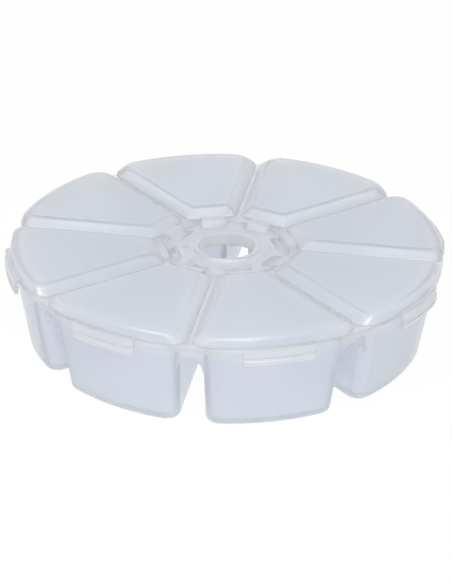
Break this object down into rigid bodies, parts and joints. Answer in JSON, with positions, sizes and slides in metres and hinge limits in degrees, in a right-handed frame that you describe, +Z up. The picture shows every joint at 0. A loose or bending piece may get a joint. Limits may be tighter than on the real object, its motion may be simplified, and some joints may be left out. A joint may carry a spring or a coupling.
{
  "type": "round parts organizer box",
  "caption": "Round frosted-plastic organizer box: wedge cups under one flange, each with its own bevelled lid that hinges at a holed hub and latches by a thumb tab on the rim.",
  "frame": {"origin": "on the box's axis, in the plane that the cups stand on", "axes": "+Z up along the axis of the hub's hole; the gaps between cups lie along X, Y and the diagonals; lid_1 is the first lid anticlockwise from +X, seen from above"},
  "size_m": [0.1024, 0.1024, 0.024],
  "materials": {
    "tray": "frosted translucent polypropylene",
    "hub": "frosted translucent polypropylene",
    "lids": "frosted translucent polypropylene"
  },
  "bodies": {
    "tray": {"cup_tray": "tray", "hinge_ring": "hub"},
    "lid_1": {"lid_1": "lids"},
    "lid_2": {"lid_2": "lids"},
    "lid_3": {"lid_3": "lids"},
    "lid_4": {"lid_4": "lids"},
    "lid_5": {"lid_5": "lids"},
    "lid_6": {"lid_6": "lids"},
    "lid_7": {"lid_7": "lids"},
    "lid_8": {"lid_8": "lids"}
  },
  "joints": [
    {"name": "lid_1_hinge", "type": "hinge", "parent": "tray", "child": "lid_1", "pos_m": [0.01238, 0.00513, 0.0201], "axis": [0.3827, -0.9239, 0], "range_deg": [0, 75]},
    {"name": "lid_2_hinge", "type": "hinge", "parent": "tray", "child": "lid_2", "pos_m": [0.00513, 0.01238, 0.0201], "axis": [-0.9239, 0.3827, 0], "range_deg": [-75, 0]},
    {"name": "lid_3_hinge", "type": "hinge", "parent": "tray", "child": "lid_3", "pos_m": [-0.00513, 0.01238, 0.0201], "axis": [0.9239, 0.3827, 0], "range_deg": [0, 75]},
    {"name": "lid_4_hinge", "type": "hinge", "parent": "tray", "child": "lid_4", "pos_m": [-0.01238, 0.00513, 0.0201], "axis": [-0.3827, -0.9239, 0], "range_deg": [-75, 0]},
    {"name": "lid_5_hinge", "type": "hinge", "parent": "tray", "child": "lid_5", "pos_m": [-0.01238, -0.00513, 0.0201], "axis": [-0.3827, 0.9239, 0], "range_deg": [0, 75]},
    {"name": "lid_6_hinge", "type": "hinge", "parent": "tray", "child": "lid_6", "pos_m": [-0.00513, -0.01238, 0.0201], "axis": [0.9239, -0.3827, 0], "range_deg": [-75, 0]},
    {"name": "lid_7_hinge", "type": "hinge", "parent": "tray", "child": "lid_7", "pos_m": [0.00513, -0.01238, 0.0201], "axis": [-0.9239, -0.3827, 0], "range_deg": [0, 75]},
    {"name": "lid_8_hinge", "type": "hinge", "parent": "tray", "child": "lid_8", "pos_m": [0.01238, -0.00513, 0.0201], "axis": [0.3827, 0.9239, 0], "range_deg": [-75, 0]}
  ]
}
